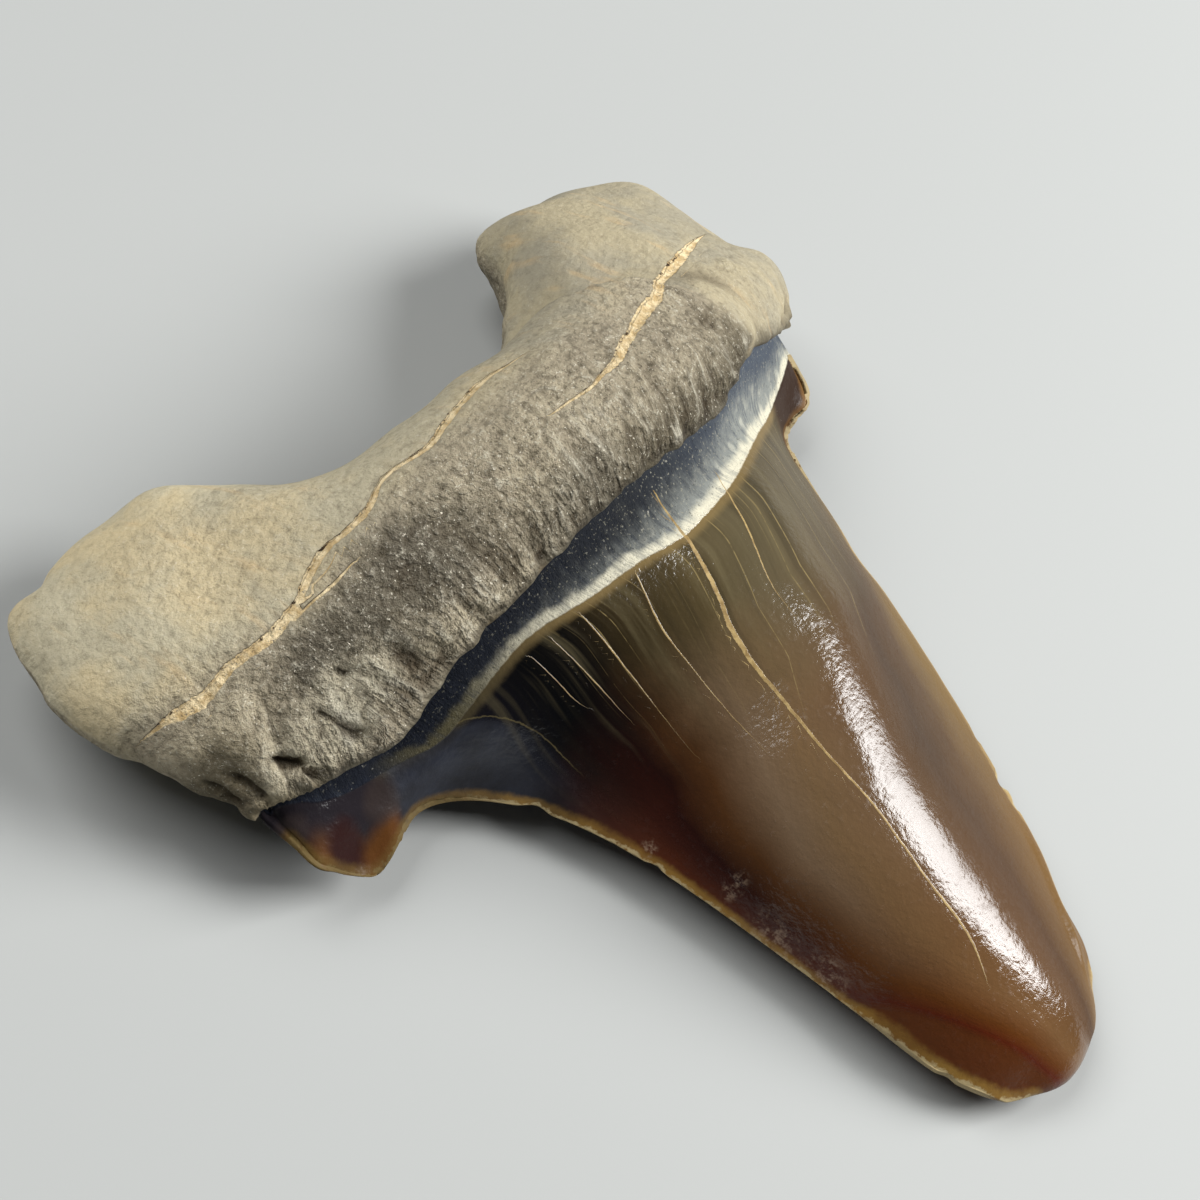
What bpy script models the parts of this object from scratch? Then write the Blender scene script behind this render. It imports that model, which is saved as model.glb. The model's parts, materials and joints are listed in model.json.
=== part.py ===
"""Fossil Parotodus tooth, lying on its labial face with the lingual face up.

The tooth is one solid. Its coarse cage is a stack of rings that run round the tooth, from the tip of
the crown to the base of the root, and Subdivision Surface rounds the cage. X runs across the tooth,
+Y from the tip to the root, +Z out of the lingual face. Sizes in the tables are millimetres.
"""

import math
from collections import namedtuple

import bmesh
import bpy
from mathutils import Vector

MM = 0.001

# Points across one face of a ring, outline to outline, counted in steps of 18 degrees
STEPS = 10
SUBDIVISIONS = 2

# How sharp the cutting edges stay, from 0 to 1, under Subdivision Surface
EDGE_CREASE = 0.9

# The tip is worn round: its edges grow sharp over this many rings
BLUNT_RINGS = 3

# The root is lumpy: the size of its lumps, and how far they stand out
LUMP_SIZE = 5.0 * MM
LUMP_HEIGHT = 0.5 * MM

# The labial face is worn flat where it rests, by this much at its lowest points
WORN_FLAT = 0.25 * MM

# A ring runs once round the tooth. left and right are where it crosses the outline (x, y, z), and
# lingual and labial are where it crosses the midline of each face (y, z). The larger bow is, the later
# the ring bends away from the midline. The lingual face rises as a dome, with the power dome_fall, up to
# the share dome of its height, and the rest is a boss on the midline. lobe is how far the ring reaches
# out at the left and the right root lobe, and foot is how far the labial face dips below them. middle is
# the midline's x, where it isn't halfway between left and right.
Ring = namedtuple(
    "Ring",
    "left right lingual labial bow dome dome_fall lobe foot middle",
    defaults=(2.0, 1.0, 2.4, (0.0, 0.0), 0.0, None),
)

CROWN = [
    Ring((-4.2, -25.2, 1.6), (3.2, -25.4, 1.6), (-26.7, 2.1), (-26.6, 1.1)),
    Ring((-5.5, -22.9, 1.8), (4.7, -22.7, 1.8), (-24.9, 3.6), (-24.8, 0.3)),
    Ring((-5.6, -19.8, 1.9), (6.4, -19.4, 1.9), (-21.3, 5.2), (-21.2, 0.0)),
    Ring((-6.1, -15.6, 2.0), (8.2, -15.2, 2.0), (-16.4, 6.8), (-16.3, -0.1)),
    Ring((-6.6, -11.2, 2.0), (10.0, -10.9, 2.0), (-11.6, 7.9), (-11.3, 0.3), bow=3.0),
    Ring((-7.4, -7.2, 2.0), (11.3, -7.0, 2.0), (-7.7, 8.5), (-7.2, 0.6), bow=3.0),
    Ring((-9.2, -3.7, 2.0), (12.5, -3.7, 2.0), (-4.9, 8.8), (-4.0, 0.7), bow=4.0),
    Ring((-11.8, -1.8, 2.1), (13.4, -1.5, 2.1), (-3.4, 8.9), (-1.6, 0.7), bow=4.0),
]
NECK = [
    Ring((-13.2, -1.2, 2.5), (13.9, -0.8, 2.5), (-2.3, 9.0), (-0.2, 0.7), bow=4.0),
    Ring((-14.5, -0.3, 2.8), (15.0, 0.0, 2.8), (-0.7, 9.1), (0.7, 1.2), bow=4.0),
]
ROOT = [
    Ring((-15.6, 0.8, 3.1), (15.5, 1.0, 3.1), (0.1, 10.6), (1.5, 1.2), bow=4.0, dome=0.8, dome_fall=1.4),
    Ring((-17.0, 2.1, 3.8), (16.7, 2.0, 3.8), (1.5, 12.4), (2.6, 1.1), bow=4.0, dome=0.7, dome_fall=0.9),
    Ring(
        (-19.0, 5.1, 4.4), (18.2, 4.3, 4.4), (3.9, 12.8), (4.2, 1.1),
        dome=0.6, dome_fall=0.8, lobe=(0.4, 0.4), foot=1.6,
    ),
    Ring(
        (-19.9, 8.8, 4.2), (17.6, 8.0, 4.2), (6.4, 11.2), (5.8, 1.3),
        dome=0.5, dome_fall=0.8, lobe=(1.2, 1.7), foot=2.7, middle=0.0,
    ),
    Ring(
        (-17.9, 12.2, 3.6), (16.2, 11.2, 3.6), (7.6, 7.4), (7.0, 2.4),
        bow=3.0, dome=0.3, dome_fall=0.8, lobe=(5.0, 6.2), foot=1.4, middle=0.0,
    ),
]
RINGS = CROWN + NECK + ROOT

# The side cusplets push the outline out at three rings, by (x, y) for the left one and for the right one
CUSPLETS = {
    8: ((-0.4, -1.8), (0.4, -0.7)),
    9: ((-1.4, -3.6), (1.3, -1.8)),
    10: ((-1.8, -2.5), (1.1, -1.0)),
}
# The share of that push that the next point in from the outline takes
CUSPLET_BASE = 0.3

# The boss on the midline falls off towards the outline with this power, and a labial face with this
# share of the power of the dome above it
BOSS_FALL = 5.0
LABIAL_FALL = 0.8

# Where a root lobe starts and where it is full, as shares of the half width, and the power with which
# it ends at the outline
LOBE_START, LOBE_FULL = 0.3, 0.6
LOBE_END = 6


def smoothstep(low, high, value):
    """0 below low, 1 above high, and a smooth rise between them."""
    t = min(max((value - low) / (high - low), 0.0), 1.0)
    return t * t * (3 - 2 * t)


def lobe_share(u):
    """1 on the two root lobes, 0 on the midline and on the outline."""
    return smoothstep(LOBE_START, LOBE_FULL, abs(u)) * (1 - abs(u) ** LOBE_END)


def cusplet_push(number, step):
    """How far a cusplet moves this point of the ring, in x and y."""
    left, right = CUSPLETS.get(number, ((0, 0), (0, 0)))
    push = Vector(left if step < STEPS / 2 else right)
    inward = min(step, STEPS - step)
    return push * {0: 1.0, 1: CUSPLET_BASE}.get(inward, 0.0)


def ring_point(number, step, lingual):
    """The point of a ring at this step across the lingual or the labial face."""
    ring = RINGS[number]
    angle = math.pi * (step / STEPS - 0.5)
    u, height = math.sin(angle), max(math.cos(angle), 0.0)
    edge = Vector(ring.left if u < 0 else ring.right)
    mid_y, mid_z = ring.lingual if lingual else ring.labial
    mid_x = (ring.left[0] + ring.right[0]) / 2 if ring.middle is None else ring.middle
    x = mid_x + abs(u) * (edge.x - mid_x)
    y = mid_y + (edge.y - mid_y) * abs(u) ** ring.bow
    y += ring.lobe[0 if u < 0 else 1] * lobe_share(u)
    if lingual:
        spread = ring.dome * height**ring.dome_fall + (1 - ring.dome) * height**BOSS_FALL
        z = edge.z + (mid_z - edge.z) * spread
    else:
        z = edge.z + (mid_z - edge.z) * height ** (ring.dome_fall * LABIAL_FALL)
        z -= ring.foot * lobe_share(u)
    push = cusplet_push(number, step)
    return Vector((x + push.x, y + push.y, z)) * MM


def ring_points(number):
    """One closed ring: across the lingual face from left to right, and back under the labial face."""
    there = [ring_point(number, step, True) for step in range(STEPS + 1)]
    back = [ring_point(number, step, False) for step in range(STEPS - 1, 0, -1)]
    return there + back


def close_end(bm, ring, number):
    """Closes an end ring with a strip of faces between its lingual and its labial side."""
    for step in range(STEPS):
        across = [ring[-step - 1], ring[-step]]
        if step == 0:
            across = [ring[-1]]
        if step == STEPS - 1:
            across = [ring[-step]]
        face = bm.faces.new([ring[step], ring[step + 1], *across])
        face.material_index = finish_of(number)


def make_cage():
    """The coarse cage of the whole tooth, open nowhere."""
    bm = bmesh.new()
    rings = [[bm.verts.new(p) for p in ring_points(number)] for number in range(len(RINGS))]
    around = len(rings[0])
    for number, (ring, following) in enumerate(zip(rings, rings[1:])):
        for i in range(around):
            j = (i + 1) % around
            face = bm.faces.new((ring[i], ring[j], following[j], following[i]))
            face.material_index = finish_of(number)
    close_end(bm, rings[0], 0)
    close_end(bm, rings[-1], len(RINGS))
    bmesh.ops.recalc_face_normals(bm, faces=bm.faces)
    crease = bm.edges.layers.float.new("crease_edge")
    for number in range(len(CROWN) + 1):
        sharp = EDGE_CREASE * smoothstep(-1, BLUNT_RINGS, number)
        for side in (0, STEPS):
            bm.edges.get((rings[number][side], rings[number + 1][side]))[crease] = sharp
    return bm


def finish_of(number):
    """The material slot of the band that follows a ring: crown, neck or root."""
    if number < len(CROWN):
        return 0
    return 1 if number < len(CROWN) + len(NECK) else 2


def make_material(name, colour, roughness):
    material = bpy.data.materials.new(name)
    material.use_nodes = True
    shader = material.node_tree.nodes["Principled BSDF"]
    shader.inputs["Base Color"].default_value = (*colour, 1.0)
    shader.inputs["Roughness"].default_value = roughness
    shader.inputs["Metallic"].default_value = 0.0
    return material


def make_tooth(collection):
    bm = make_cage()
    mesh = bpy.data.meshes.new("tooth")
    bm.to_mesh(mesh)
    bm.free()
    tooth = bpy.data.objects.new("tooth", mesh)
    collection.objects.link(tooth)
    mesh.materials.append(make_material("enamel", (0.16, 0.07, 0.025), 0.2))
    mesh.materials.append(make_material("neck band", (0.10, 0.12, 0.17), 0.45))
    mesh.materials.append(make_material("root dentine", (0.42, 0.36, 0.27), 0.8))
    return tooth


def round_cage(tooth):
    rounding = tooth.modifiers.new("round", "SUBSURF")
    rounding.levels = rounding.render_levels = SUBDIVISIONS


def add_lumps(tooth):
    """Lumps on the root alone, which is weighted by its own group."""
    on_root = tooth.vertex_groups.new(name="root")
    around = 2 * STEPS
    first = len(CROWN + NECK)
    for number in range(first, len(RINGS)):
        weight = smoothstep(first - 1, first + 2, number)
        on_root.add(range(number * around, (number + 1) * around), weight, "REPLACE")
    noise = bpy.data.textures.new("root lumps", "CLOUDS")
    noise.noise_scale = LUMP_SIZE
    lumps = tooth.modifiers.new("lumps", "DISPLACE")
    lumps.texture = noise
    lumps.texture_coords = "LOCAL"
    lumps.vertex_group = on_root.name
    lumps.strength = LUMP_HEIGHT


def apply_modifiers(tooth):
    graph = bpy.context.evaluated_depsgraph_get()
    mesh = bpy.data.meshes.new_from_object(tooth.evaluated_get(graph))
    cage = tooth.data
    tooth.modifiers.clear()
    tooth.data = mesh
    bpy.data.meshes.remove(cage)


def set_down(tooth):
    """Wears the labial face flat where it rests, and puts the middle of its box's base at the origin."""
    points = [v.co for v in tooth.data.vertices]
    low = Vector([min(p[axis] for p in points) for axis in range(3)])
    high = Vector([max(p[axis] for p in points) for axis in range(3)])
    floor = low.z + WORN_FLAT
    shift = Vector((-(low.x + high.x) / 2, -(low.y + high.y) / 2, -floor))
    for vertex in tooth.data.vertices:
        vertex.co = vertex.co + shift
        vertex.co.z = max(vertex.co.z, 0.0)


def main():
    for old in list(bpy.data.objects):
        bpy.data.objects.remove(old)
    collection = bpy.data.collections.new("fossil shark tooth")
    bpy.context.scene.collection.children.link(collection)
    tooth = make_tooth(collection)
    round_cage(tooth)
    add_lumps(tooth)
    apply_modifiers(tooth)
    set_down(tooth)
    tooth.data.shade_smooth()


main()
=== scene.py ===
# %% [markdown]
# # A fossil shark tooth
#
# The real tooth is one natural piece: a stony root with two lobes, a narrow dark neck band, and a glossy
# enamel crown that ends in a worn tip. It lies on its flat labial face, so the bulging lingual face is up.
# The CAD solid gives its size and its main shape. This lesson dresses that solid: it rounds the surface,
# carves the relief that a step closer shows, and paints stone, neck and enamel with one material.

# %% Load the frame
import json
import math

import bpy
import numpy as np
from mathutils import Matrix, Vector, kdtree, noise
from mathutils.bvhtree import BVHTree

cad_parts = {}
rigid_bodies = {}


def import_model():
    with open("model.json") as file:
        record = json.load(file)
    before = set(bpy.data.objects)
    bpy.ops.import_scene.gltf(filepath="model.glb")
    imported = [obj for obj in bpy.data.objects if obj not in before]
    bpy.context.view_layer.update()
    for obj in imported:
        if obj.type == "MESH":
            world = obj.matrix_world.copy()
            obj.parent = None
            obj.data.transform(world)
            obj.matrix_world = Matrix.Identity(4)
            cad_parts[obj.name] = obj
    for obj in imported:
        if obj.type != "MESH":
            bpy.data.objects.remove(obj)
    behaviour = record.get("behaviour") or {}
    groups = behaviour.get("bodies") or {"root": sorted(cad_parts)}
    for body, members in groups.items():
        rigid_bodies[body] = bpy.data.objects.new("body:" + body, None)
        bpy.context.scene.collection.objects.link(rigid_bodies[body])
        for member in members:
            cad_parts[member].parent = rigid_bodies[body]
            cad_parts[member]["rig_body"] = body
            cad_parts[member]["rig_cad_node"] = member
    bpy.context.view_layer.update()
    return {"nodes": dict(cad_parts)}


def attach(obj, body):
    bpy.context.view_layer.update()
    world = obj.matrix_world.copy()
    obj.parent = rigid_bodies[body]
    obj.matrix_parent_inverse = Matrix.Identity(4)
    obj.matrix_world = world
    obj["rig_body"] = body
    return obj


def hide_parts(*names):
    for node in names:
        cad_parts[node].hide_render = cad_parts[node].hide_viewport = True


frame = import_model()

MM = 0.001

# %% [markdown]
# ## A finer copy of the solid
#
# The solid arrives as loose triangles, which can't be smoothed as they are. A copy of it is merged at its
# doubles and turned back into quads, and then Subdivision Surface gives it enough points to carve. The
# cutting edges have to stay sharp, so they are creased first. Voxel remeshing would also make a fine mesh,
# but it would round the cutting edges off.

# %% Merge a copy and find its quads again
DOUBLES = 0.000001

bpy.ops.object.select_all(action="DESELECT")
tooth = frame["nodes"]["tooth"].copy()
tooth.data = tooth.data.copy()
tooth.name = "fossil_tooth"
tooth.parent = None
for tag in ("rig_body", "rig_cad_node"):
    del tooth[tag]
bpy.context.collection.objects.link(tooth)
tooth.data.materials.clear()
tooth.select_set(True)
bpy.context.view_layer.objects.active = tooth
bpy.ops.object.mode_set(mode="EDIT")
bpy.ops.mesh.select_all(action="SELECT")
bpy.ops.mesh.customdata_custom_splitnormals_clear()
bpy.ops.mesh.remove_doubles(threshold=DOUBLES)
bpy.ops.mesh.tris_convert_to_quads(face_threshold=math.radians(90), shape_threshold=math.radians(90))
bpy.ops.object.mode_set(mode="OBJECT")
print(len(tooth.data.vertices), "points,", len(tooth.data.polygons), "faces")

# %% Crease the cutting edges and subdivide
# An edge that turns by more than this is a cutting edge
CUTTING_ANGLE = math.radians(38)
CREASE = 0.9
SUBDIVISIONS = 2

bpy.ops.object.mode_set(mode="EDIT")
bpy.ops.mesh.select_all(action="DESELECT")
bpy.ops.mesh.edges_select_sharp(sharpness=CUTTING_ANGLE)
bpy.ops.transform.edge_crease(value=CREASE)
bpy.ops.object.mode_set(mode="OBJECT")
mark = tooth.data.attributes.new("cutting_edge", "FLOAT", "POINT")
for edge in tooth.data.edges:
    if edge.select:
        for corner in edge.vertices:
            mark.data[corner].value = 1.0
smoother = tooth.modifiers.new("smooth", "SUBSURF")
smoother.levels = smoother.render_levels = SUBDIVISIONS
bpy.ops.object.modifier_apply(modifier=smoother.name)
print(len(tooth.data.vertices), "points,", 2 * len(tooth.data.polygons), "triangles")

# %% [markdown]
# ## Measuring the surface
#
# Carving and painting both need to know where a point is on the tooth: how far it is from the enamel's
# edge, from the root's edge and from the cutting edges. Those lines are drawn here as a few points seen
# from above, in millimetres, and then draped over the surface like a thread.

# %% Helpers for arrays of points
def smoothstep(low, high, values):
    """0 below low, 1 above high, and a smooth rise between them."""
    t = np.clip((values - low) / (high - low), 0, 1)
    return t * t * (3 - 2 * t)


def bump(centre, reach, values):
    """1 at centre, falling smoothly to 0 at reach on either side."""
    return 1 - smoothstep(0, reach, np.abs(values - centre))


def read_points():
    """The tooth's points, one row each, in millimetres."""
    flat = np.empty(3 * len(tooth.data.vertices), np.float32)
    tooth.data.vertices.foreach_get("co", flat)
    return flat.reshape(-1, 3).astype(float) / MM


def read_normals():
    flat = np.empty(3 * len(tooth.data.vertices), np.float32)
    tooth.data.vertex_normals.foreach_get("vector", flat)
    return flat.reshape(-1, 3).astype(float)


def write_points(points):
    tooth.data.vertices.foreach_set("co", (points * MM).astype(np.float32).ravel())
    tooth.data.update()


def read_values(name):
    """One number for each point, from an attribute of the mesh."""
    values = np.empty(len(tooth.data.vertices), np.float32)
    tooth.data.attributes[name].data.foreach_get("value", values)
    return values.astype(float)


def write_values(name, values):
    if name not in tooth.data.attributes:
        tooth.data.attributes.new(name, "FLOAT", "POINT")
    tooth.data.attributes[name].data.foreach_set("value", np.asarray(values, np.float32))


def cloud(points, size, seed=0.0):
    """Soft noise from about -1 to 1, with blobs of this size in millimetres."""
    return np.array([noise.noise(Vector(p)) for p in points / size + seed])


# %% Lines on the tooth
# A height in mm that is well clear of the tooth, above and below it
CLEAR = 30


def smooth_line(corners, spacing=0.25):
    """More points along the same line, on a smooth curve through its corners."""
    corners = np.array(corners, float)
    padded = np.vstack([2 * corners[0] - corners[1], corners, 2 * corners[-1] - corners[-2]])
    found = []
    for a, b, c, d in zip(padded, padded[1:], padded[2:], padded[3:]):
        steps = max(2, int(np.linalg.norm(c - b) / spacing))
        for t in np.arange(steps)[:, None] / steps:
            bend = 2 * a - 5 * b + 4 * c - d + t * (3 * (b - c) + d - a)
            found.append(b + 0.5 * t * (c - a + t * bend))
    return np.vstack([*found, corners[-1:]])


def drape(line, from_above=True):
    """The same line laid on the surface, seen from above or from below. Points beside the tooth drop
    out."""
    start, way = (CLEAR, -1) if from_above else (-CLEAR, 1)
    found = []
    for x, y in line:
        hit = surface.ray_cast(Vector((x, y, start)) * MM, Vector((0, 0, way)))[0]
        if hit is not None:
            found.append(np.array(hit) / MM)
    return np.array(found)


def from_line(points, line):
    """For each point: its distance from the draped line, its side of it (1 on the left as one goes along,
    -1 on the right), and how far along the line it is."""
    best = np.full(len(points), np.inf)
    side, along = np.zeros(len(points)), np.zeros(len(points))
    done = 0.0
    for start, end in zip(line, line[1:]):
        step = end - start
        length = np.linalg.norm(step)
        t = np.clip((points - start) @ step / length**2, 0, 1)
        distance = np.linalg.norm(points - start - t[:, None] * step, axis=1)
        nearer = distance < best
        turn = step[0] * (points[:, 1] - start[1]) - step[1] * (points[:, 0] - start[0])
        best[nearer] = distance[nearer]
        side[nearer] = np.sign(turn)[nearer]
        along[nearer] = (done + t * length)[nearer]
        done += length
    return best, side, along


def refresh():
    """Reads the mesh again after a change of shape."""
    global points, normals, surface
    points, normals = read_points(), read_normals()
    tooth.data.calc_loop_triangles()
    corners = [v.co for v in tooth.data.vertices]
    surface = BVHTree.FromPolygons(corners, [t.vertices for t in tooth.data.loop_triangles])


refresh()
lingual = smoothstep(-0.15, 0.15, normals[:, 2])
print("lingual share of the points:", round(lingual.mean(), 2))

# %% Where enamel, neck and root meet
# Seen from above, from the left cusplet to the right one: (x, y) in mm
ENAMEL_EDGE = [
    (-17.2, 8.0), (-16.2, 7.5), (-15.2, 6.8), (-14.2, 6.2), (-13.0, 5.8), (-11.2, 5.4), (-9.6, 4.9),
    (-8.1, 5.0), (-5.7, 5.1), (-3.1, 4.5), (-1.0, 4.2), (1.0, 3.8), (2.5, 3.8), (5.4, 4.1), (9.8, 5.0),
    (13.7, 5.7), (17.5, 7.2),
]
ROOT_EDGE = [
    (-17.4, 8.4), (-16.2, 7.8), (-15.2, 7.1), (-14.4, 6.8), (-12.6, 6.4), (-11.4, 6.1), (-9.0, 6.3),
    (-7.2, 6.4), (-0.9, 6.4), (3.6, 6.3), (6.7, 6.4), (9.1, 7.0), (11.1, 7.4), (14.0, 7.5), (17.5, 8.2),
]
ENAMEL_EDGE_BELOW = [(-17.2, 8.0), (-12.0, 6.6), (0.0, 6.3), (12.0, 6.6), (17.5, 7.2)]
ROOT_EDGE_BELOW = [(-17.4, 8.4), (-12.0, 7.4), (0.0, 7.2), (12.0, 7.4), (17.5, 8.2)]


def from_seam(above, below):
    """Distance in mm from a line that runs round the tooth, positive towards the root."""
    above, below = smooth_line(above), smooth_line(below)
    distance = np.minimum(
        from_line(points, drape(above))[0],
        from_line(points, drape(below, from_above=False))[0],
    )
    level = np.where(
        normals[:, 2] > 0,
        np.interp(points[:, 0], *above.T),
        np.interp(points[:, 0], *below.T),
    )
    return np.where(points[:, 1] > level, distance, -distance)


enamel = -from_seam(ENAMEL_EDGE, ENAMEL_EDGE_BELOW)
root = from_seam(ROOT_EDGE, ROOT_EDGE_BELOW)
print("enamel reaches", round(enamel.max(), 1), "mm from its edge, root", round(root.max(), 1), "mm")

# %% Distance from the cutting edges, and place across the crown
# Subdivision blends the mark into the points beside it, so only those that are still fully marked count
FULLY_MARKED = 0.99

on_edge = np.flatnonzero(read_values("cutting_edge") > FULLY_MARKED)
edge_tree = kdtree.KDTree(len(on_edge))
for i in on_edge:
    edge_tree.insert(points[i], i)
edge_tree.balance()
rim = np.array([edge_tree.find(p)[2] for p in points])

# Growth lines of the crown, from its left edge (0) to its right one (1): each is x at the heights below
HEIGHTS = [-19.6, -12.0, -4.0, 0.0, 5.0]
GROWTH_LINES = {
    0.0: [-1.6, -4.9, -5.9, -6.8, -8.0],
    0.15: [-1.3, -4.2, -4.6, -4.6, -5.7],
    0.28: [-1.0, -3.1, -3.2, -3.2, -3.6],
    0.4: [-0.7, -2.2, -1.9, -1.6, -0.9],
    0.52: [-0.4, -1.2, -0.5, 0.2, 1.9],
    0.66: [0.4, 0.9, 2.0, 2.7, 5.6],
    1.0: [1.9, 7.6, 10.5, 12.3, 14.2],
}

lines_x = {place: np.interp(points[:, 1], HEIGHTS, line) for place, line in GROWTH_LINES.items()}
across = np.zeros(len(points))
for place, following in zip(lines_x, list(lines_x)[1:]):
    width = lines_x[following] - lines_x[place]
    across += (following - place) * np.clip((points[:, 0] - lines_x[place]) / width, 0, 1)
along = from_line(points, drape(smooth_line(ROOT_EDGE)))[2]
print(len(on_edge), "points on the cutting edges")

# %% [markdown]
# ## Pulling the outline
#
# The solid has the outline of the tooth without its small turns. A grab brush pulls a soft patch of the
# surface by a vector, and that gives the left lobe its corner, the right one its hook and its dents, and
# the cutting edge the nick of an old bite.

# %% Grab brush
# Each pull: where its middle is, how far it reaches, and how far it moves the surface there, all in mm
PULLS = [
    ((-10.2, 18.4, 4.9), 2.6, (0.1, 0.35, 0.15)),
    ((-16.8, 18.5, 3.3), 2.4, (-0.2, 0.3, -0.1)),
    ((-15.3, 19.2, 3.4), 0.9, (0.1, -0.2, 0.0)),
    ((-6.4, 15.0, 7.6), 3.6, (-0.1, -0.42, -0.15)),
    ((-0.4, 13.5, 8.9), 3.0, (0.0, 0.35, 0.05)),
    ((8.2, 17.0, 2.7), 3.0, (0.45, -0.28, 0.2)),
    ((10.5, 19.2, 3.2), 2.2, (-0.35, 0.55, -0.1)),
    ((13.2, 19.8, 3.9), 2.6, (-0.15, -0.5, -0.2)),
    ((16.5, 16.4, 4.7), 3.0, (0.5, 0.3, 0.35)),
    ((17.6, 12.4, 5.6), 2.0, (-0.4, -0.05, -0.25)),
    ((17.0, 9.4, 5.8), 2.4, (0.15, 0.0, 0.2)),
    ((-17.2, 11.4, 2.7), 2.0, (0.28, 0.1, 0.2)),
    ((3.6, -19.0, 1.3), 2.2, (-0.22, 0.22, 0.0)),
    ((-0.8, -19.8, 1.3), 2.0, (0.0, -0.24, 0.0)),
    ((5.4, -16.2, 1.5), 2.5, (-0.2, 0.06, 0.0)),
    ((11.2, -0.7, 2.0), 2.0, (-0.2, 0.07, 0.0)),
    ((7.75, -11.3, 1.7), 0.5, (-0.32, 0.0, 0.0)),
    ((7.35, -12.4, 1.7), 0.4, (-0.14, 0.0, 0.0)),
    ((8.6, -9.4, 1.7), 0.4, (-0.1, 0.0, 0.0)),
    ((-7.6, 1.3, 1.7), 0.8, (0.18, 0.05, 0.1)),
    ((-6.0, -3.4, 1.8), 0.5, (0.12, 0.0, 0.05)),
    ((-4.3, -16.4, 1.5), 0.5, (0.12, 0.0, 0.0)),
    ((-14.2, 3.7, 2.4), 2.2, (0.1, 0.3, -0.9)),
    ((-15.8, 5.2, 2.5), 1.1, (-0.25, -0.2, 0.0)),
]

moved = points.copy()
for middle, reach, move in PULLS:
    distance = np.linalg.norm(points - np.array(middle), axis=1)
    moved += (1 - smoothstep(0, reach, distance))[:, None] * np.array(move)
write_points(moved)
refresh()

# %% [markdown]
# ## The crest of the crown
#
# The crown isn't a plain arch. Its crest, which carries the long highlight, starts right of the middle at
# the base and swings to the left on its way to the tip. The points of the lingual face slide sideways by
# as much as the crest has to move, and those on the cutting edges stay where they are. Then the flank on
# its right is pressed towards a flat one, and the flank on its left is filled out near the tip. More rings
# in the solid could do the same, but each change of the crest would mean fitting all of them again.

# %% Slide the crest
# Each pair: the height along the crown, and how far the crest moves to the right there, in mm
CREST = [
    (-20.0, 0.2), (-18.0, -0.3), (-15.0, -1.2), (-12.0, -1.75), (-7.5, -1.85), (-4.3, -0.75), (-2.0, 0.4),
    (4.0, 0.85),
]


def carve(amount):
    """Moves each point along its normal by so many millimetres."""
    write_points(points + normals * amount[:, None])
    refresh()


slide = np.interp(points[:, 1], *np.array(CREST).T)
middle = np.clip((points[:, 0] - lines_x[0.0]) / (lines_x[1.0] - lines_x[0.0]), 0, 1)
# 4 * middle * (1 - middle) is 0 on both cutting edges and 1 halfway between them
slide *= 4 * middle * (1 - middle) * lingual * smoothstep(-1.0, 1.5, enamel)
write_points(points + np.outer(slide, (1, 0, 0)))
refresh()

# %% Flatten the flank on the right of the crest
# The crest after its slide, from the tip to the neck: (x, y) in mm
CREST_LINE = [
    (0.0, -19.3), (-0.4, -14.7), (-0.3, -11.0), (0.3, -8.0), (1.5, -4.3), (2.7, -0.9), (3.2, 3.0),
    (3.2, 6.0),
]
# The height of the cutting edges in mm, and how far the flank goes towards a flat one, from 0 to 1
FLANK_FOOT = 1.8
FLAT = 0.3

crest = drape(smooth_line(CREST_LINE))
crest_x, crest_z = (np.interp(points[:, 1], crest[:, 1], crest[:, axis]) for axis in (0, 2))
down_flank = np.clip((points[:, 0] - crest_x) / (lines_x[1.0] - crest_x), 0, 1)
straight = crest_z + (FLANK_FOOT - crest_z) * down_flank
flatter = FLAT * smoothstep(0, 0.5, down_flank) * (1 - smoothstep(0.88, 1.0, down_flank))
flatter *= lingual * smoothstep(0.5, 5.0, enamel) * smoothstep(-19.5, -16.5, points[:, 1])
points[:, 2] += flatter * np.minimum(straight - points[:, 2], 0)
write_points(points)
refresh()

# %% Round the flank on the left of the crest, near the tip
# The left cutting edge, from the tip down: (y, x) in mm
LEFT_RIM = [(-19.5, -2.6), (-18.5, -3.5), (-17.0, -4.2), (-15.0, -4.7), (-13.0, -4.9), (-10.0, -5.1)]
# How far the flank goes towards a round one, from 0 to 1
ROUND = 0.85

left_x = np.interp(points[:, 1], *np.array(LEFT_RIM).T)
down_left = np.clip((crest_x - points[:, 0]) / (crest_x - left_x), 0, 1)
arch = FLANK_FOOT + (crest_z - FLANK_FOOT) * (1 - down_left**2)
rounder = ROUND * (1 - smoothstep(-14.0, -11.5, points[:, 1])) * smoothstep(-19.0, -17.5, points[:, 1])
rounder *= lingual * (points[:, 0] < crest_x)
points[:, 2] += rounder * np.maximum(arch - points[:, 2], 0)
write_points(points)
refresh()

# %% [markdown]
# ## Carving the relief
#
# The relief is carved by moving points along their normals, as a sculptor's brush would, by amounts that
# depend on the distances above. Displace modifiers would do the noise, but the brow of the root, its
# wrinkles and its cracks follow the tooth's own lines, so all of it is done in the same way here.

# %% The far side of the boss
# The boss ends in a soft cliff towards the right lobe: (x, y) in mm, from the root's base to its brow
BOSS_END = [(1.6, 14.0), (3.2, 13.6), (4.8, 13.4), (6.6, 12.6), (8.2, 11.7), (8.9, 9.8), (9.6, 7.6)]
# How deep the cliff is cut, and how high the lip in front of it stands, in mm
CLIFF, LIP = 0.85, 0.3

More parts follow.
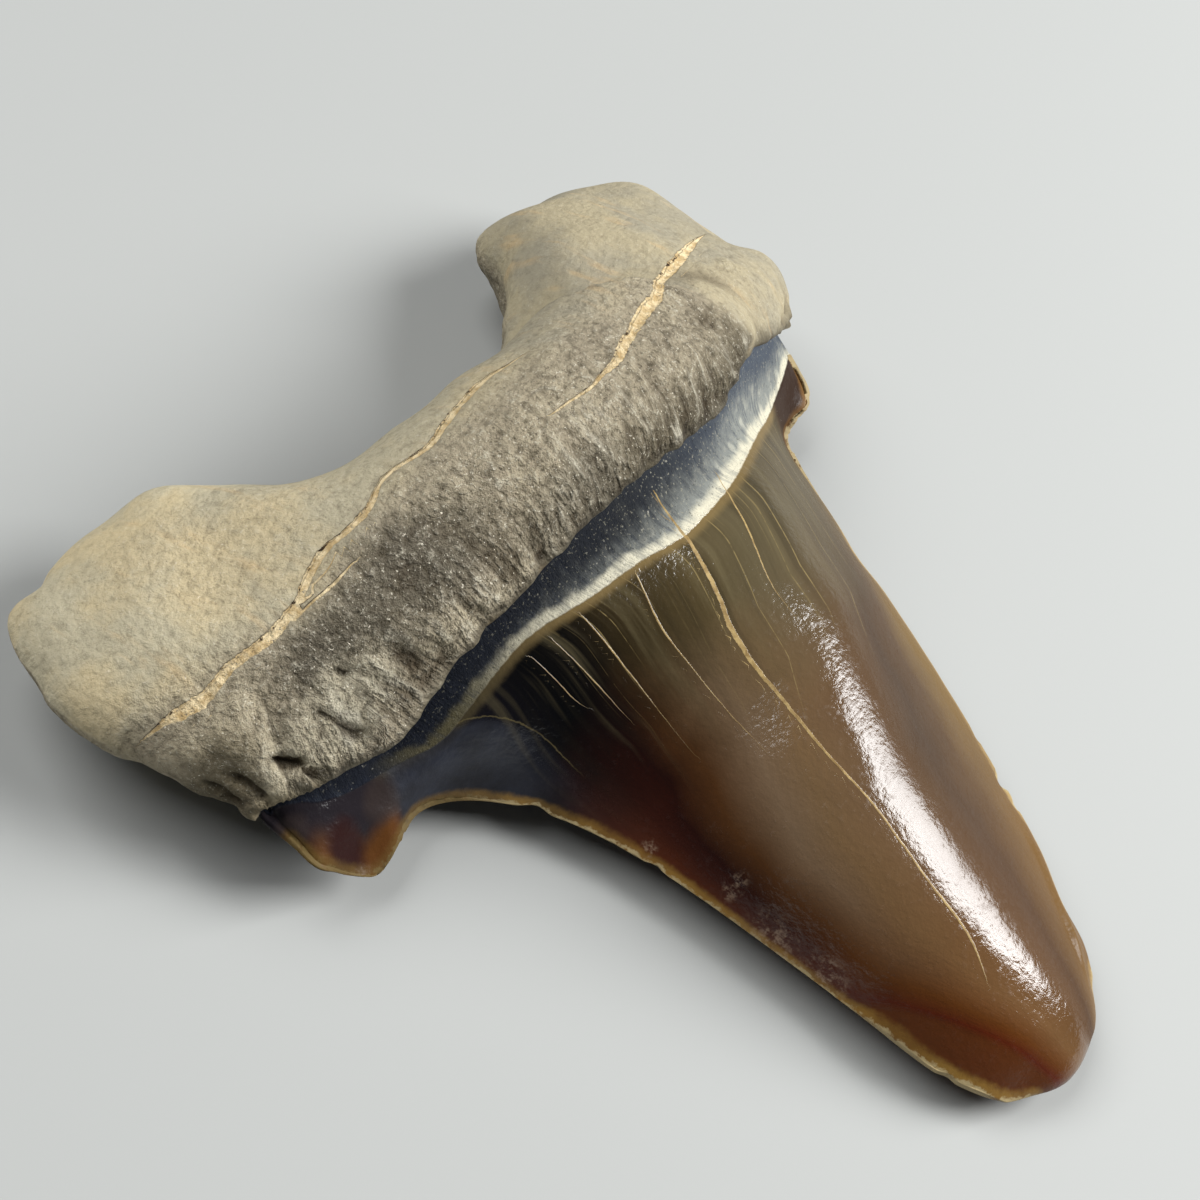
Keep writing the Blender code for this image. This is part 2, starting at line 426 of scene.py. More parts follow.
end_distance, end_side, end_along = from_line(points, drape(smooth_line(BOSS_END)))
behind = end_distance * end_side
ends = smoothstep(0.0, 3.0, end_along) * (1 - smoothstep(6.5, 10.0, end_along))
cliff = -CLIFF * smoothstep(-0.1, 1.0, behind) * (1 - smoothstep(1.4, 5.5, behind))
cliff += LIP * smoothstep(-2.5, -0.3, behind) * (1 - smoothstep(-0.2, 0.5, behind))
carve(cliff * ends * lingual)

# %% A shallow dish in the left lobe
DISH_AT, DISH_REACH, DISH_DEPTH = (-11.5, 13.8, 8.0), 4.0, 0.3

from_dish = np.linalg.norm(points - np.array(DISH_AT), axis=1)
carve(-DISH_DEPTH * (1 - smoothstep(0.5, DISH_REACH, from_dish)) * lingual)

# %% Brow of the root and step of the enamel
BROW, GROOVE, ENAMEL_STEP, SINK = 0.42, 0.3, 0.05, 0.32

sink = -SINK * (1 - smoothstep(0.0, 5.0, enamel)) * (1 - smoothstep(-0.6, 0.2, root)) * lingual
carve(sink)
brow = BROW * smoothstep(-0.05, 0.3, root) * (1 - smoothstep(1.0, 4.5, root))
groove = -GROOVE * smoothstep(-0.9, -0.1, root) * (1 - smoothstep(-0.05, 0.15, root))
step = ENAMEL_STEP * smoothstep(-0.1, 0.2, enamel) * (1 - smoothstep(1.5, 5.0, enamel))
carve((brow + groove) * (0.3 + 0.7 * lingual) + step)

# %% Lumps and wrinkles of the root
on_root = smoothstep(0.0, 0.8, root)
# The two lobes are worn smooth, and the boss between them keeps its rough skin
rough = on_root * (1 - 0.75 * smoothstep(4.0, 6.5, root) * lingual)
rough *= 1 - 0.8 * smoothstep(-0.3, 1.2, behind) * lingual
rough *= 1 - 0.4 * smoothstep(13.0, 16.0, np.abs(points[:, 0]))
on_brow = smoothstep(0.0, 0.3, root) * (1 - smoothstep(0.6, 1.8, root)) * lingual
# Each layer: how far its lumps stand out, their size, where they are, and the seed of their noise
LUMPS = [
    (0.16, 2.6, on_root, 0.0), (0.12, 1.0, rough, 7.3), (0.07, 0.5, rough, 5.9),
    (0.22, 0.8, on_brow, 2.4),
]
lumps = sum(height * where * cloud(points, size, seed) for height, size, where, seed in LUMPS)

# Wrinkles run from the neck up the boss, and are deepest on its left shoulder
WRINKLE_WIDTH, WRINKLE_LENGTH, WRINKLE_HEIGHT = 0.85, 2.6, 0.42
LEFT_SHOULDER, SHOULDER_REACH = -12.0, 6.5

wrinkle_at = np.stack([along / WRINKLE_WIDTH, root / WRINKLE_LENGTH, np.zeros(len(points))], axis=1)
ripple = np.array([noise.noise(Vector(p)) for p in wrinkle_at])
near_neck = smoothstep(0.1, 0.8, root) * (1 - smoothstep(2.5, 5.5, root)) * lingual
strength = 0.35 + 0.75 * bump(LEFT_SHOULDER, SHOULDER_REACH, points[:, 0])
wrinkles = WRINKLE_HEIGHT * near_neck * strength * ripple
# How deep the root's hollows lie; the material darkens them as painted shade
hollow = -(lumps + wrinkles)
carve(lumps + wrinkles)

# The enamel is almost even
WAVE_HEIGHT, WAVE_SIZE = 0.008, 0.9

carve(WAVE_HEIGHT * cloud(points, WAVE_SIZE, 4.4) * smoothstep(0.3, 1.0, enamel))

# %% Cracks
# Each crack: its corners (x, y) as seen from above with its half width there, in mm, and its depth
ROOT_CRACKS = [
    ([(-17.6, 11.9, 0.03), (-17.0, 11.7, 0.08), (-16.2, 11.4, 0.2), (-15.7, 11.2, 0.22),
      (-14.6, 11.3, 0.16), (-13.1, 11.0, 0.16), (-11.9, 11.1, 0.18), (-11.2, 11.4, 0.13),
      (-9.9, 11.8, 0.16), (-8.7, 11.7, 0.11), (-7.7, 11.8, 0.15), (-6.6, 12.2, 0.09), (-4.7, 11.9, 0.12),
      (-3.5, 12.2, 0.16), (-1.0, 12.6, 0.16), (0.1, 12.4, 0.08), (1.2, 12.2, 0.02)], 0.1),
    ([(-12.3, 10.8, 0.07), (-11.5, 10.8, 0.05), (-10.7, 10.7, 0.07), (-9.6, 10.7, 0.03)], 0.05),
    ([(-1.2, 9.6, 0.03), (-0.2, 9.5, 0.06), (1.0, 9.4, 0.07), (1.8, 9.5, 0.09), (2.8, 9.6, 0.16),
      (4.5, 10.1, 0.2), (6.4, 10.6, 0.24), (7.6, 10.8, 0.2), (8.8, 11.4, 0.2), (10.7, 11.8, 0.24),
      (12.3, 12.1, 0.22), (13.8, 12.4, 0.14), (15.3, 12.6, 0.03)], 0.08),
]
CROWN_CRACKS = [
    ([(2.0, 5.6, 0.04), (1.6, 3.6, 0.07), (0.9, 1.6, 0.08), (0.2, 0.0, 0.1), (-0.2, -2.5, 0.07),
      (-0.7, -5.4, 0.05), (-0.9, -8.2, 0.04), (-1.2, -11.2, 0.045), (-1.3, -13.5, 0.05),
      (-1.8, -15.2, 0.02)], 0.02),
    ([(5.4, 4.7, 0.03), (4.1, 2.6, 0.045), (2.7, 0.4, 0.03), (2.3, -1.4, 0.01)], 0.01),
    ([(-1.0, 4.0, 0.03), (-1.5, 2.1, 0.04), (-1.6, 0.0, 0.025), (-1.7, -2.3, 0.025),
      (-1.9, -3.9, 0.01)], 0.01),
    ([(-3.5, 4.4, 0.03), (-3.3, 2.6, 0.035), (-3.2, 0.9, 0.025), (-3.2, -2.0, 0.01)], 0.01),
    ([(-4.8, 4.6, 0.02), (-4.3, 2.4, 0.03), (-4.0, 0.6, 0.01)], 0.01),
    ([(-5.7, 4.7, 0.02), (-5.2, 2.8, 0.025), (-4.9, 2.1, 0.01)], 0.01),
]
# How far from its line a crack can show, in mm
ROOT_CRACK_SHOWS, CROWN_CRACK_SHOWS = 0.7, 0.35
# A crack has its full depth where its half width is this, and its walls slope over this distance
FULL_HALF_WIDTH, CRACK_WALL = 0.15, 0.3


def follow(corners):
    """Each point's distance from a line on the tooth, its side of it, and the line's half width there."""
    corners = np.array(corners)
    line = drape(smooth_line(corners[:, :2]))
    distance, side, along_line = from_line(points, line)
    measured = np.linalg.norm(np.diff(corners[:, :2], axis=0), axis=1).cumsum()
    length = np.linalg.norm(np.diff(line, axis=0), axis=1).sum()
    share = np.concatenate([[0], measured]) / measured[-1]
    return distance, side, np.interp(along_line / length, share, corners[:, 2])


crack_side = np.full(len(points), ROOT_CRACK_SHOWS)
crack_width = np.zeros(len(points))
depth = np.zeros(len(points))
nearest = np.full(len(points), np.inf)
cracks = [(*crack, ROOT_CRACK_SHOWS) for crack in ROOT_CRACKS]
cracks += [(*crack, CROWN_CRACK_SHOWS) for crack in CROWN_CRACKS]
for corners, deep, shows in cracks:
    distance, side, half_width = follow(corners)
    nearer = (distance < nearest) & (lingual > 0.5) & (distance < shows)
    nearest[nearer] = distance[nearer]
    crack_side[nearer] = (distance * side)[nearer]
    crack_width[nearer] = (half_width * (1 - smoothstep(0.5 * shows, 0.9 * shows, distance)))[nearer]
    depth[nearer] = (deep * half_width / FULL_HALF_WIDTH)[nearer]
carve(-depth * (1 - smoothstep(0, CRACK_WALL, nearest)))

# %% Furrows and pits of the left shoulder
# Each furrow: its corners with its half width, and its depth, in mm
FURROWS = [
    ([(-15.1, 8.2, 0.1), (-14.8, 7.5, 0.3), (-14.4, 6.9, 0.15)], 0.5),
    ([(-16.3, 8.8, 0.15), (-16.0, 7.8, 0.2)], 0.3),
    ([(-16.9, 9.4, 0.15), (-16.5, 8.4, 0.2)], 0.25),
    ([(-13.3, 8.1, 0.1), (-12.6, 6.9, 0.2)], 0.25),
    ([(-10.9, 8.2, 0.1), (-9.8, 6.9, 0.15)], 0.15),
    ([(-12.1, 8.6, 0.1), (-11.2, 7.2, 0.2)], 0.2),
]
cut = np.zeros(len(points))
for corners, deep in FURROWS:
    distance, _, half_width = follow(corners)
    cut = np.maximum(cut, deep * (1 - smoothstep(0.3, 1.6, distance / half_width)))
cut *= smoothstep(0.15, 0.6, root) * lingual
carve(-cut)
hollow = hollow + cut * 0.8

# %% The edge of the bluish film on the heel of the crown
FILM_EDGE = [(-9.4, 5.4), (-7.9, 4.5), (-6.6, 2.9), (-6.1, 1.2), (-5.9, -0.1)]

film_distance, film_turn = from_line(points, drape(smooth_line(FILM_EDGE)))[:2]
film = -film_distance * film_turn

# %% Rest on the floor again
points[:, 2] = np.maximum(points[:, 2], 0)
write_points(points)
refresh()

# %% [markdown]
# ## What the paint needs to know
#
# The distances go onto the mesh as attributes, one number for each point, which the material reads.

# %% Attributes
measures = {
    "enamel": enamel,
    "root": root,
    "rim": rim,
    "across": across,
    "lingual": lingual,
    "rough": rough,
    "crack_side": crack_side,
    "crack_width": crack_width,
    "hollow": hollow,
    "along": along,
    "film": film,
}
for name, values in measures.items():
    write_values(name, values)
tooth.data.attributes.remove(tooth.data.attributes["cutting_edge"])
tooth.data.shade_smooth()

# %% [markdown]
# ## A way to write materials
#
# A material is a graph of nodes. Sums of masks are easier to read as sums, so a small class wraps a node's
# output and turns Python's operators into Math nodes.

# %% The class for numbers, and the one for finishes
class Number:
    """A number or a colour that may change over the surface. Arithmetic on it adds Math nodes."""

    def __init__(self, finish, socket):
        self.finish, self.socket = finish, socket

    def math(self, operation, first, second=0.0):
        return self.finish.node("ShaderNodeMath", {"operation": operation}, {0: first, 1: second})

    def __add__(self, other):
        return self.math("ADD", self, other)

    def __sub__(self, other):
        return self.math("SUBTRACT", self, other)

    def __rsub__(self, other):
        return self.math("SUBTRACT", other, self)

    def __mul__(self, other):
        return self.math("MULTIPLY", self, other)

    def __truediv__(self, other):
        return self.math("DIVIDE", self, other)

    __radd__, __rmul__ = __add__, __mul__

    def size(self):
        return self.math("ABSOLUTE", self)

    def rise(self, low, high):
        """0 below low, 1 above high, and a smooth rise between them. It falls where low is the higher."""
        ranges = {"From Min": low, "From Max": high}
        return self.finish.node(
            "ShaderNodeMapRange", {"interpolation_type": "SMOOTHSTEP"}, {"Value": self, **ranges}
        )


class Finish:
    """A material, and one method that adds any node to it."""

    def __init__(self, name):
        self.material = bpy.data.materials.new(name)
        self.material.use_nodes = True
        self.tree = self.material.node_tree
        self.shader = self.tree.nodes["Principled BSDF"]

    def set(self, socket, value):
        if isinstance(value, Number):
            self.tree.links.new(value.socket, socket)
        else:
            socket.default_value = value

    def node(self, kind, settings=None, values=None, output=0):
        made = self.tree.nodes.new(kind)
        for name, value in (settings or {}).items():
            if name == "stops":
                self.set_stops(made.color_ramp.elements, value)
            else:
                setattr(made, name, value)
        for name, value in (values or {}).items():
            self.set(made.inputs[name], value)
        return Number(self, made.outputs[output])

    def set_stops(self, elements, stops):
        """Gives a ramp its stops, (place, colour) each."""
        while len(elements) < len(stops):
            elements.new(1.0)
        for element, (place, shade) in zip(elements, stops):
            element.position, element.color = place, shade

    def ramp(self, value, *stops):
        """The colour at this value, blended between stops of (value, colour)."""
        return self.node("ShaderNodeValToRGB", {"stops": stops}, {"Fac": value})

    def attribute(self, name):
        return self.node("ShaderNodeAttribute", {"attribute_name": name}, output="Fac")

    def mix(self, factor, first, second):
        """first where the factor is 0, second where it is 1. Both are colours."""
        return self.node("ShaderNodeMix", {"data_type": "RGBA"}, {0: factor, 6: first, 7: second}, output=2)

    def grain(self, size, detail=2.0, rough=0.5, at=None, seed=0.0):
        """Noise from 0 to 1 with blobs of this size in millimetres."""
        at = self.place if at is None else at
        return self.node(
            "ShaderNodeTexNoise",
            {"noise_dimensions": "4D"},
            {"Vector": at, "W": seed, "Scale": 1 / (size * MM), "Detail": detail, "Roughness": rough},
        )


def colour(red, green, blue):
    """A colour from its sRGB values, 0 to 255, as a picture shows it."""
    linear = [((c / 255 + 0.055) / 1.055) ** 2.4 if c > 10 else c / 255 / 12.92 for c in (red, green, blue)]
    return (*linear, 1.0)


fossil = Finish("fossil tooth")
fossil.place = fossil.node("ShaderNodeTexCoord", output="Object")
on = {name: fossil.attribute(name) for name in measures}
x, y, z = (
    fossil.node("ShaderNodeSeparateXYZ", values={"Vector": fossil.place}, output=axis) / MM
    for axis in range(3)
)

# %% Noise that the whole tooth shares
fine = fossil.grain(0.35, 4.0, 0.65, seed=2.0)
speck = fossil.grain(0.11, 2.0, 0.6, seed=9.0)
blotch = fossil.grain(3.5, 4.0, 0.6, seed=3.0)


def dab(at_x, at_y, reach_x, reach_y, ragged=0.6):
    """A soft round patch of paint at a place in mm: 1 in its middle, 0 past its reach, with ragged
    edges."""
    aside, away = (x - at_x) / reach_x, (y - at_y) / reach_y
    far = aside * aside + away * away + (blotch - 0.5) * ragged * 2 + (fine - 0.5) * ragged
    return far.rise(1.0, 0.1)


# %% [markdown]
# ## The crown
#
# Enamel is dense and glossy. Minerals have stained it black at the left of its base, olive and brown down
# the middle, red-brown at the left and amber at the tip. The middle is also painted lighter with a soft
# sheen, and the light that shines through its thin cutting edges is painted in honey colours.
# The stains follow the tooth's growth, so they are painted as bands across the crown, at three heights that
# blend into each other from the enamel's edge to the tip.

# %% Crown colours
side = on["across"] + (blotch - 0.5) * 0.1
by_neck = fossil.ramp(
    side,
    (0.0, colour(12, 10, 16)),
    (0.1, colour(0, 0, 1)),
    (0.2, colour(5, 3, 2)),
    (0.3, colour(44, 35, 17)),
    (0.45, colour(72, 61, 38)),
    (0.6, colour(86, 77, 56)),
    (0.8, colour(82, 73, 54)),
    (1.0, colour(80, 69, 45)),
)
# The light stops in the middle of this ramp are partly the enamel's stain and partly a painted sheen
halfway = fossil.ramp(
    side,
    (0.0, colour(84, 36, 8)),
    (0.1, colour(50, 14, 2)),
    (0.16, colour(36, 7, 1)),
    (0.25, colour(76, 46, 20)),
    (0.4, colour(118, 96, 73)),
    (0.52, colour(112, 88, 60)),
    (0.62, colour(98, 76, 53)),
    (0.72, colour(82, 60, 38)),
    (0.82, colour(60, 41, 21)),
    (0.9, colour(72, 50, 24)),
    (1.0, colour(112, 88, 46)),
)
by_tip = fossil.ramp(
    side,
    (0.0, colour(78, 38, 7)),
    (0.12, colour(78, 26, 3)),
    (0.26, colour(90, 50, 16)),
    (0.4, colour(100, 66, 36)),
    (0.52, colour(106, 76, 46)),
    (0.66, colour(94, 66, 38)),
    (0.84, colour(70, 46, 22)),
    (1.0, colour(104, 76, 36)),
)
down = on["enamel"] + (blotch - 0.5) * 4.0
crown = fossil.mix((down - side.rise(0.2, 0.05) * 1.8).rise(2.0, 8.5), by_neck, halfway)
crown = fossil.mix(down.rise(11.0, 20.0), crown, by_tip)

# %% Growth lines
# Broad faint bands and hair-thin pale lines run from the enamel's edge towards the tip. The crown is
# divided across into narrow cells, and each cell draws a line of its own strength and length along its
# middle.
LINE_CELLS = 54
lines_at = fossil.node(
    "ShaderNodeCombineXYZ", values={"X": on["across"] * 0.02, "Y": on["enamel"] * 0.00006, "Z": 0.0}
)
bands = fossil.grain(0.7, 3.0, 0.55, at=lines_at, seed=1.0)
fresh = on["enamel"].rise(9.0, 0.5)
crown = fossil.mix(bands.rise(0.5, 0.68) * fresh * 0.35, crown, colour(114, 104, 76))
crown = fossil.mix(bands.rise(0.5, 0.34) * fresh * 0.35, crown, colour(30, 26, 16))
cell = on["across"] * LINE_CELLS + (bands - 0.5) * 2.0
cell_number = cell.math("FLOOR", cell)
luck, reach = (
    fossil.node("ShaderNodeTexWhiteNoise", {"noise_dimensions": "1D"}, {"W": cell_number + seed})
    for seed in (0.0, 57.3)
)
line = (cell - cell_number - 0.5).size().rise(0.09, 0.03)
reached = (reach * 9.0 + 0.5 - on["enamel"]).rise(0.0, 3.0)
hair = line * luck.rise(0.2, 0.8) * reached * on["across"].rise(0.1, 0.25)
crown = fossil.mix(hair * fine.rise(0.3, 0.55) * 0.6, crown, colour(150, 132, 88))
margin = (on["enamel"] + (fine - 0.5) * 0.2).rise(0.5, 0.08)
margin_shade = fossil.mix(x.rise(-9.0, -3.0), colour(72, 64, 44), colour(128, 108, 70))
crown = fossil.mix(margin * 0.8, crown, margin_shade)

# %% Bluish film on the heel, and the left cusplet
film_shows = on["film"].rise(-0.1, 0.35) * x.rise(-12.4, -11.4) * x.rise(-5.6, -8.5) * y.rise(-1.0, 1.5)
film_shade = fossil.mix(blotch.rise(0.35, 0.65), colour(8, 8, 16), colour(38, 42, 54))
crown = fossil.mix(film_shows * 0.85, crown, film_shade)
film_line = (on["film"] + (fine - 0.5) * 0.25).size().rise(0.045, 0.01)
film_line = film_line * y.rise(0.5, 2.0) * x.rise(-9.5, -8.5) * blotch.rise(0.4, 0.5)
crown = fossil.mix(film_line * 0.4, crown, colour(120, 108, 72))

cusplet = x.rise(-11.6, -12.4)
crown = fossil.mix(cusplet, crown, colour(26, 20, 26))
crown = fossil.mix(cusplet * on["rim"].rise(1.5, 0.7) * y.rise(6.4, 5.0), crown, colour(84, 48, 8))
crown = fossil.mix(dab(-14.3, 4.9, 1.0, 1.1, 0.3), crown, colour(36, 4, 1))
crown = fossil.mix(dab(-12.3, 5.2, 1.0, 0.8, 0.3) * 0.8, crown, colour(46, 36, 33))
crown = fossil.mix(dab(-15.7, 6.5, 0.9, 0.7, 0.3) * 0.8, crown, colour(50, 40, 38))

# The right cusplet is a plain dark brown
crown = fossil.mix(x.rise(12.8, 14.0), crown, colour(44, 24, 7))

# %% Cutting edges
# The light that shines through the thin edges is painted in honey colours, and where they are chipped they
# are pale
chips = fossil.grain(0.5, 4.0, 0.75, seed=8.0)
left_honey = fossil.mix(x.rise(-10.5, -8.0), colour(92, 70, 30), colour(138, 106, 48))
right_honey = fossil.mix(x.rise(12.5, 13.5), colour(160, 134, 84), colour(112, 78, 36))
honey = fossil.mix(x.rise(-1.0, 2.0), left_honey, right_honey)
edge_glow = (on["rim"] + (chips - 0.5) * 0.35).rise(0.55, 0.2)
crown = fossil.mix(edge_glow * (0.45 + blotch.rise(0.35, 0.6) * 0.45), crown, honey)
worn_edge = (on["rim"] + (chips - 0.5) * 0.9).rise(0.16, 0.04)
chip_shade = fossil.mix(x.rise(-9.5, -8.0), colour(104, 88, 50), colour(176, 160, 120))
crown = fossil.mix(worn_edge * 0.75, crown, chip_shade)

# %% Scuffs
# Pale powdery scuffs where the left edge has rubbed: place (x, y) and reach in mm
SCUFFS = [(-5.0, -6.1, 0.5, 0.5), (-5.3, -8.4, 0.8, 1.7), (-4.9, -10.8, 0.6, 1.3), (-5.8, -2.8, 0.3, 0.4)]

flecks = (fine + speck * 0.5).rise(0.7, 0.95)
for scuff in SCUFFS:
    powder = dab(*scuff, 1.2) * on["lingual"] * flecks
    crown = fossil.mix(powder * 0.45, crown, colour(176, 152, 128))

# %% [markdown]
# ## The neck and the root
#
# The neck band is soft dentine. Under the root's brow it took up a blue-black stain, and next to the
# enamel it stayed grey and chalky. The root is porous stone: sandy on its worn lobes, darker and pebbly on
# the boss between them, with ripples that run up from the neck. Each material starts from one colour, and
# layers of noise at several sizes are painted over it, the coarse ones first.

# %% Coordinates that follow the neck
by_neck_line = fossil.node(
    "ShaderNodeCombineXYZ", values={"X": on["along"] * MM, "Y": on["root"] * MM * 0.22, "Z": 0.0}
)
fibres = fossil.grain(0.28, 3.0, 0.65, at=by_neck_line, seed=3.0)
ripples = fossil.grain(0.55, 3.0, 0.6, at=by_neck_line, seed=8.0)

# %% Neck colours
from_root = 0 - on["root"]
share = from_root / (from_root - on["enamel"] + 0.01)
ragged_share = share + (fine - 0.5) * 0.4 + (blotch - 0.5) * 0.5 + (fibres - 0.5) * 0.2
to_right = x.rise(-10.5, 6.0)
neck = fossil.mix(to_right, colour(16, 22, 36), colour(140, 143, 137))
chalk = fossil.grain(0.7, 3.0, seed=21.0).rise(0.5, 0.65) * to_right
neck = fossil.mix(chalk * 0.6, neck, colour(188, 187, 172))
neck = fossil.mix(fibres.rise(0.5, 0.36) * 0.5, neck, colour(70, 76, 86))
navy = ragged_share.rise(1.2 - to_right * 0.3, 0.6 - to_right * 0.35)
neck = fossil.mix(navy * 0.95, neck, fossil.mix(x.rise(0.0, 11.0), colour(3, 9, 22), colour(62, 70, 82)))
creamy = on["enamel"] + (fossil.grain(0.9, 3.0, seed=22.0) - 0.5) * 0.9 + (fine - 0.5) * 0.2
cream = creamy.rise(-0.6, -0.2) * (0.6 + fibres.rise(0.38, 0.52) * 0.4)
cream = cream * on["enamel"].rise(-1.0, -0.3) * x.rise(-12.5, -9.5)
cream_shade = fossil.mix(x.rise(-9.0, -3.0), colour(84, 78, 54), colour(220, 214, 190))
neck = fossil.mix(cream * 0.85, neck, cream_shade)
neck = fossil.mix(speck.rise(0.6, 0.67) * (0.15 + to_right * 0.4), neck, colour(160, 156, 136))
neck = fossil.mix(speck.rise(0.38, 0.32) * 0.5, neck, colour(12, 14, 20))

# %% Grain of the root
# The size of a grain, and how far noise bends the pattern of grains, in metres
GRAIN_SIZE, GRAIN_BEND = 0.34 * MM, 0.4 * MM
pebble = fossil.grain(0.4, 4.0, 0.7, seed=12.0)
pores = fossil.grain(0.16, 3.0, 0.75, seed=6.0)
bent = fossil.node(
    "ShaderNodeVectorMath",
    {"operation": "MULTIPLY_ADD"},
    {0: fossil.grain(0.5, 3.0, 0.6, seed=31.0), 1: (GRAIN_BEND,) * 3, 2: fossil.place},
)
grains = fossil.node(
    "ShaderNodeTexVoronoi",
    {"feature": "SMOOTH_F1"},
    {"Vector": bent, "Scale": 1 / GRAIN_SIZE, "Smoothness": 0.5},
)

# %% Root colours
# Lighter towards the left lobe: partly the sand's own tone, and partly painted light on that side, which
# the lamps light less
to_left = x.rise(6.0, -8.0)
sand = fossil.mix(to_left, colour(154, 147, 127), colour(186, 177, 150))
warm_sand = fossil.mix(to_left, colour(170, 159, 131), colour(200, 184, 147))
sand = fossil.mix(blotch.rise(0.4, 0.62), sand, warm_sand)
streaks_at = fossil.node("ShaderNodeCombineXYZ", values={"X": x * MM, "Y": y * MM * 0.2, "Z": z * MM * 0.2})
streaks = fossil.grain(0.7, 3.0, 0.6, at=streaks_at, seed=33.0)
sand = fossil.mix(streaks.rise(0.55, 0.72) * 0.3, sand, colour(214, 176, 120))
crust = fossil.mix(blotch.rise(0.3, 0.7), colour(144, 134, 114), colour(174, 163, 138))
crust = fossil.mix(on["root"].rise(3.2, 0.8) * x.rise(-6.0, 2.0) * 0.9, crust, colour(96, 88, 71))
# Each stain: its place and reach (x, y) in mm, its strength, and its colour
for spot, strength, shade in (
    ((-9.8, 9.0, 5.6, 2.4), 0.85, colour(88, 82, 70)),
    ((-2.2, 7.2, 3.5, 1.2), 0.6, colour(108, 102, 88)),
    ((-13.0, 7.8, 3.6, 1.5), 0.8, colour(182, 173, 149)),
    ((-16.6, 9.0, 1.6, 1.8), 0.8, colour(96, 88, 68)),
):
    crust = fossil.mix(dab(*spot) * strength, crust, shade)

# %% Layers over the root, from pebbles to specks
skin = fossil.mix(on["rough"].rise(0.1, 0.7), sand, crust)
grit = 0.2 + on["rough"] * 0.8
ripple_shows = on["root"].rise(4.5, 1.0) * on["rough"]
# A painted shadow along the root's edge, under its overhanging brow
brow_shadow = (on["root"] + (ripples - 0.5) * 1.2).rise(0.9, 0.1)
for mask, shade in (
    # The dark layers lie where the same noises lower the bump, as painted shade in the hollows over the
    # stone's own mottling, and the pale layers lie on the raised tops
    (pebble.rise(0.48, 0.32) * grit * 0.7, colour(74, 66, 50)),
    (pebble.rise(0.54, 0.7) * grit * 0.6, colour(208, 201, 180)),
    (grains.rise(0.5, 0.85) * grit * 0.5, colour(66, 58, 44)),
    (pores.rise(0.46, 0.3) * grit * 0.8, colour(76, 68, 54)),
    (pores.rise(0.56, 0.72) * grit * 0.7, colour(228, 222, 202)),
    (ripples.rise(0.5, 0.35) * ripple_shows * 0.8, colour(66, 56, 40)),
    (ripples.rise(0.55, 0.7) * ripple_shows * 0.6, colour(214, 208, 188)),
    # Painted shade in the carved hollows and furrows
    (on["hollow"].rise(0.05, 0.3) * 0.8, colour(66, 54, 38)),
    # The painted shadow under the brow
    (brow_shadow * 0.75, colour(50, 44, 36)),
    # Pale specks are painted glints, where the stone's shader is also glossier
    (speck.rise(0.66, 0.71) * grit * 0.8, colour(240, 232, 210)),
):
    skin = fossil.mix(mask, skin, shade)

# %% Cracks and the meeting lines
# Ochre dust fills the cracks, and one wall of each crack in the root stands over a thin recess, which the
# bump cuts and the paint darkens as its shadow
jag = (fossil.grain(0.35, 4.0, 0.8, seed=5.0) - 0.5) * 0.3 + (fossil.grain(1.1, 2.0, seed=26.0) - 0.5) * 0.2
crack_at = on["crack_side"] + jag * (0.1 + on["crack_width"] * 5.0)
cracked = (on["crack_width"] * 1.25 - crack_at.size()).rise(0.0, 0.035)
recess_and_shadow = (on["crack_width"] * 0.3 - (crack_at - on["crack_width"] * 0.95).size()).rise(-0.01, 0.02)
is_enamel = (on["enamel"] + (fine - 0.5) * 0.12).rise(-0.04, 0.04)
is_root = (on["root"] + (pebble - 0.5) * 0.5 + (ripples - 0.5) * 0.5).rise(-0.05, 0.05)
base = fossil.mix(is_root, neck, skin)
base = fossil.mix(is_enamel, base, crown)
ochre = fossil.mix(fine.rise(0.35, 0.65), colour(188, 160, 112), colour(236, 216, 174))
crown_ochre = fossil.mix(fine.rise(0.35, 0.65), colour(140, 112, 62), colour(184, 158, 102))
base = fossil.mix(cracked * is_root * pores.rise(0.34, 0.42) * 0.95, base, ochre)
base = fossil.mix(cracked * (1 - is_root) * 0.85, base, crown_ochre)
# Painted shadow in the recess beside each root crack
base = fossil.mix(recess_and_shadow * is_root * pebble.rise(0.52, 0.6), base, colour(58, 42, 26))

# %% [markdown]
# ## Shine and fine relief
#
# Enamel is glossy and the stone beside it is dull. One shader whose roughness changes could show both, but
# worn enamel has a weak sharp reflection over a dull body. So there are two shaders, a glossy one and a
# dull one, and a mask mixes them. Pores and grains of a few tenths of a millimetre would need many more
# points than the mesh has. They are bump: noise that turns the way the surface faces without moving it.

# %% Shine
polish_at = fossil.node(
    "ShaderNodeCombineXYZ",
    values={"X": on["across"] * 0.016, "Y": on["enamel"] * 0.0005, "Z": z * MM * 0.3},
)
polish = fossil.grain(0.3, 3.0, 0.6, at=polish_at, seed=7.0)
wear = fossil.grain(0.24, 3.0, 0.55, seed=15.0)
flank = on["across"].rise(0.66, 0.78)
scratched = wear.rise(0.5, 0.68) * blotch.rise(0.35, 0.6) * on["enamel"].rise(2.0, 6.0)
roughness = 0.09 + flank * 0.12 + polish * 0.1 + scratched * 0.18 + cracked * 0.4 + worn_edge * 0.3
roughness = roughness + film_shows * 0.25 + on["rim"].rise(2.2, 0.6) * x.rise(0.0, -2.0) * 0.15
glints = speck.rise(0.64, 0.7)
shiny = is_enamel * (1 - flank * 0.75) * (1 - cracked * 0.5) * (1 - cusplet * 0.65)
shiny = shiny * (1 - on["rim"].rise(3.0, 0.5) * x.rise(1.0, -2.0) * 0.55)
shiny = shiny + (1 - is_enamel) * glints * 0.5
